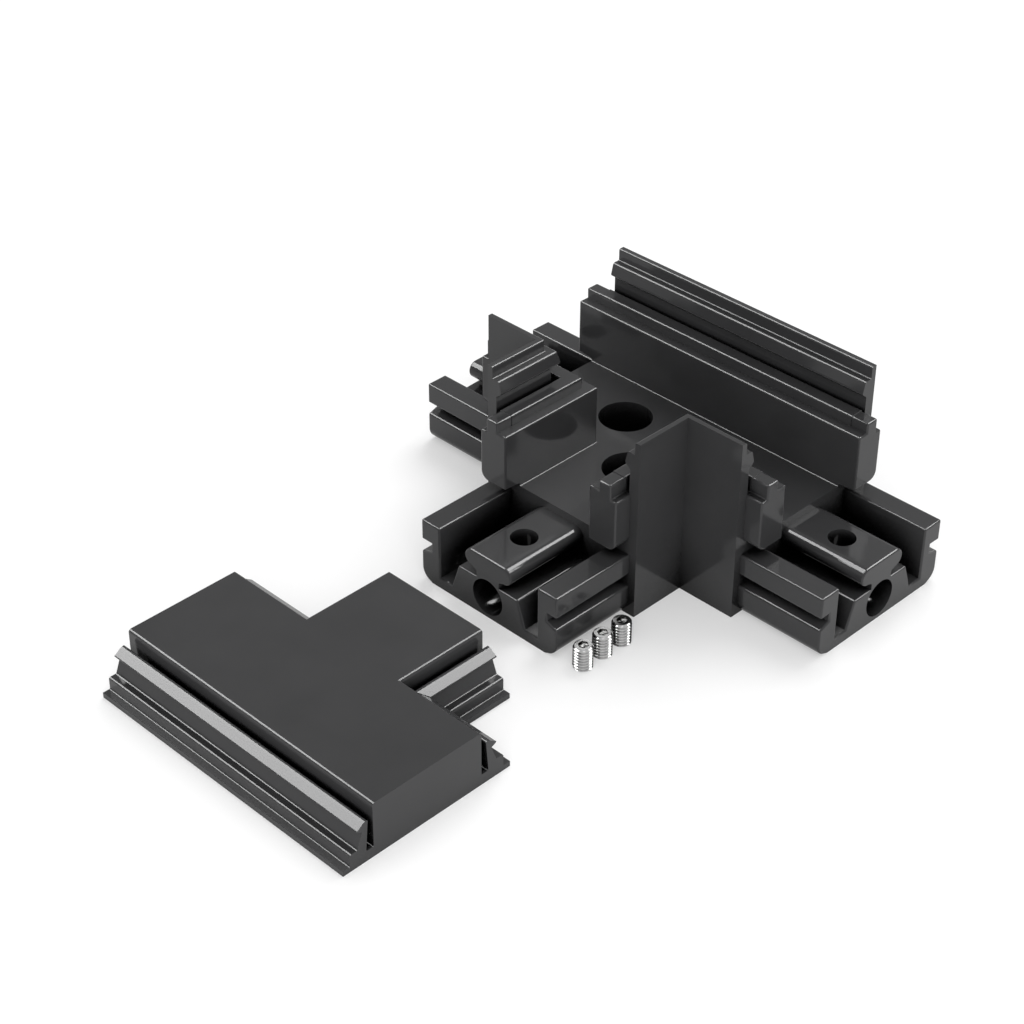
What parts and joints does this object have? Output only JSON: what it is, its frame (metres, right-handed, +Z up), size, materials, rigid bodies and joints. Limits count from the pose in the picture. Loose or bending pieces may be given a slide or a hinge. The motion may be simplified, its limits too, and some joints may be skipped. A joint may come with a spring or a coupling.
{
  "type": "t corner connector",
  "caption": "T connector for square channel frame profile, with three plug-in arms, a snap-in T cover and hex socket set screws.",
  "frame": {"origin": "where the centre lines of the three branches cross, on the underside", "axes": "+X along the bar of the T, -Y along its stem, +Z up through the open side of the body"},
  "size_m": [0.08, 0.1057, 0.03],
  "materials": {
    "body_plastic": "smooth moulded black plastic, glossy",
    "cover_plastic": "smooth moulded black plastic, glossy",
    "screw_steel": "bright plated steel, turned and threaded"
  },
  "bodies": {
    "root": {"connector_body": "body_plastic", "cover": "cover_plastic", "set_screws": "screw_steel"}
  },
  "joints": []
}
